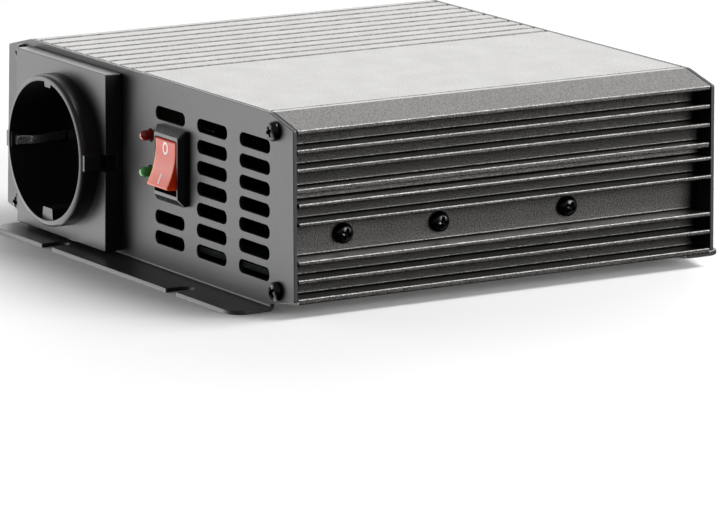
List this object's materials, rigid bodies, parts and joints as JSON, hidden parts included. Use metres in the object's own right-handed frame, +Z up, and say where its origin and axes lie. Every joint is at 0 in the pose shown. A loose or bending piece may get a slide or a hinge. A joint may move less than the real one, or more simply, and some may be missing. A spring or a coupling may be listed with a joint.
{
  "type": "power inverter",
  "caption": "Small finned aluminium power inverter with an earthed mains socket, rocker switch, indicator lamps, fan, screw battery terminals and slotted mounting flanges.",
  "frame": {"origin": "middle of the footprint, on the surface that the two panel flanges stand on", "axes": "+X to the right seen from the front, +Y towards the rear panel, +Z up"},
  "size_m": [0.1556, 0.161, 0.054],
  "materials": {
    "anodised_aluminium": "fine sand-blasted, dark grey anodised",
    "powder_coated_steel": "satin black powder coat",
    "black_screw": "glossy black oxide",
    "plated_steel": "zinc plated",
    "black_plastic": "fine moulded grain",
    "pale_plastic": "moulded",
    "red_plastic": "moulded",
    "rocker_red": "translucent, polished",
    "red_lens": "clear tinted epoxy",
    "green_lens": "clear tinted epoxy",
    "brass": "turned",
    "circuit_board": "green solder mask",
    "ferrite": "ground ceramic",
    "winding_tape": "polyester tape over enamelled wire",
    "capacitor_sleeve": "shrunk sleeve",
    "transistor_case": "moulded epoxy",
    "fuse_plastic": "translucent",
    "black_lead": "cable insulation",
    "red_lead": "cable insulation"
  },
  "bodies": {
    "case": {"front_panel": "powder_coated_steel", "rear_panel": "powder_coated_steel", "case_top_shell": "anodised_aluminium", "case_bottom_shell": "anodised_aluminium", "front_screw_1": "black_screw", "front_screw_2": "black_screw", "front_screw_3": "black_screw", "front_screw_4": "black_screw", "rear_screw_1": "black_screw", "rear_screw_2": "black_screw", "rear_screw_3": "black_screw", "rear_screw_4": "black_screw", "side_screw_right_1": "black_screw", "side_screw_right_2": "black_screw", "side_screw_right_3": "black_screw", "side_screw_left_1": "black_screw", "side_screw_left_2": "black_screw", "side_screw_left_3": "black_screw", "fan_screw_1": "black_screw", "fan_screw_2": "black_screw", "fan_screw_3": "black_screw", "fan_screw_4": "black_screw", "ground_screw": "plated_steel", "socket_body": "black_plastic", "socket_back_cover": "pale_plastic", "socket_contact_upper": "brass", "socket_contact_lower": "brass", "earth_strap": "plated_steel", "switch_housing": "black_plastic", "switch_terminal_upper": "brass", "switch_terminal_lower": "brass", "led_red": "red_lens", "led_green": "green_lens", "fan_frame": "black_plastic", "terminal_base_black": "black_plastic", "terminal_base_red": "red_plastic", "terminal_stud_black": "brass", "terminal_stud_red": "brass", "main_board": "circuit_board", "transformer_core": "ferrite", "transformer_winding": "winding_tape", "output_capacitor": "capacitor_sleeve", "input_capacitor_1": "capacitor_sleeve", "input_capacitor_2": "capacitor_sleeve", "power_transistor_right_1": "transistor_case", "power_transistor_right_2": "transistor_case", "power_transistor_right_3": "transistor_case", "power_transistor_left_1": "transistor_case", "power_transistor_left_2": "transistor_case", "power_transistor_left_3": "transistor_case", "fuse_1": "fuse_plastic", "fuse_2": "fuse_plastic", "battery_lead_black": "black_lead", "battery_lead_red": "red_lead"},
    "rocker": {"switch_rocker": "rocker_red"},
    "fan_rotor": {"fan_rotor": "black_plastic"},
    "washer_black": {"terminal_washer_black": "plated_steel"},
    "knob_black": {"terminal_knob_black": "black_plastic"},
    "washer_red": {"terminal_washer_red": "plated_steel"},
    "knob_red": {"terminal_knob_red": "red_plastic"}
  },
  "joints": [
    {"name": "rocker_tilt", "type": "hinge", "parent": "case", "child": "rocker", "pos_m": [0.0158, -0.0685, 0.0314], "axis": [1, 0, 0], "range_deg": [0, 24]},
    {"name": "fan_spin", "type": "hinge", "parent": "case", "child": "fan_rotor", "pos_m": [-0.038, 0.062, 0.0278], "axis": [0, 1, 0], "continuous": true},
    {"name": "washer_black_slide", "type": "slide", "parent": "case", "child": "washer_black", "axis": [0, 1, 0], "range_m": [0, 0.004]},
    {"name": "knob_black_spin", "type": "hinge", "parent": "washer_black", "child": "knob_black", "pos_m": [0.014, 0.077, 0.0274], "axis": [0, 1, 0], "range_deg": [0, 1801]},
    {"name": "washer_red_slide", "type": "slide", "parent": "case", "child": "washer_red", "axis": [0, 1, 0], "range_m": [0, 0.004]},
    {"name": "knob_red_spin", "type": "hinge", "parent": "washer_red", "child": "knob_red", "pos_m": [0.046, 0.077, 0.0274], "axis": [0, 1, 0], "range_deg": [0, 1801]}
  ],
  "couplings": [
    {"joint": "knob_black_spin", "follows": "washer_black_slide", "rad_per_m": 7854},
    {"joint": "knob_red_spin", "follows": "washer_red_slide", "rad_per_m": 7854}
  ]
}
